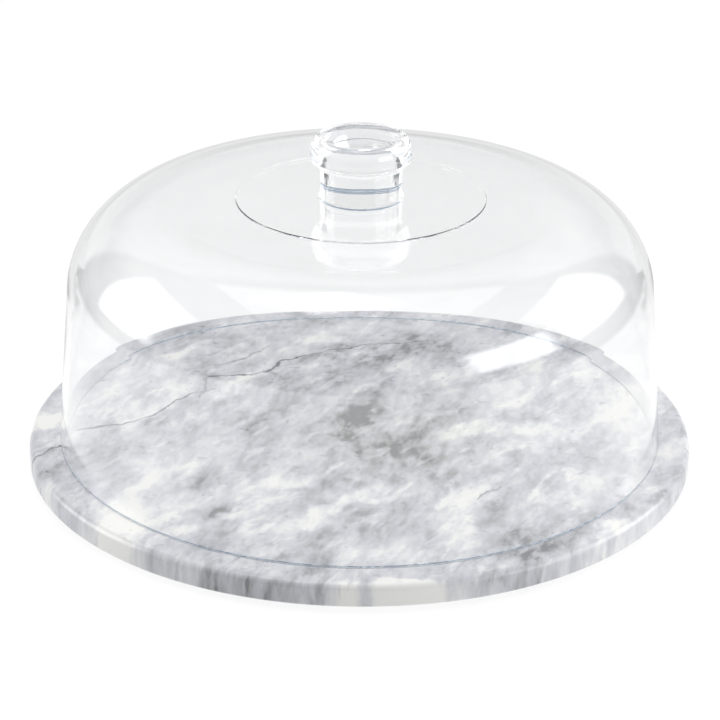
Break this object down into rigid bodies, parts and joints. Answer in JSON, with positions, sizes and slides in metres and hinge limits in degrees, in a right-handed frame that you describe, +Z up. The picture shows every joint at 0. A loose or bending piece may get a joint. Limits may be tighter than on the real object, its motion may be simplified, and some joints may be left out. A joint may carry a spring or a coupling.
{
  "type": "cake stand dome",
  "caption": "Round marble serving board on stick-on pads, with a clear lift-off dome and knob that cover a cake.",
  "frame": {"origin": "centre of the plane that the foot pads stand on, on the dome's axis", "axes": "+Z up along the dome's axis, -Y towards the viewer of the picture, +X to the viewer's right"},
  "size_m": [0.305, 0.305, 0.1559],
  "materials": {
    "marble": "polished, white with soft blue-grey clouds and thin dark veins",
    "pad_silicone": "clear silicone, soft gloss",
    "dome_acrylic": "clear cast acrylic, polished",
    "clear_cement": "cured clear cement",
    "knob_acrylic": "clear moulded acrylic, polished"
  },
  "bodies": {
    "board": {"marble_board": "marble", "foot_pad_1": "pad_silicone", "foot_pad_2": "pad_silicone", "foot_pad_3": "pad_silicone", "foot_pad_4": "pad_silicone"},
    "dome": {"dome_shell": "dome_acrylic", "knob_bond": "clear_cement", "knob": "knob_acrylic"}
  },
  "joints": [
    {"name": "dome_lift", "type": "slide", "parent": "board", "child": "dome", "axis": [0, 0, 1], "range_m": [0, 0.16]}
  ]
}
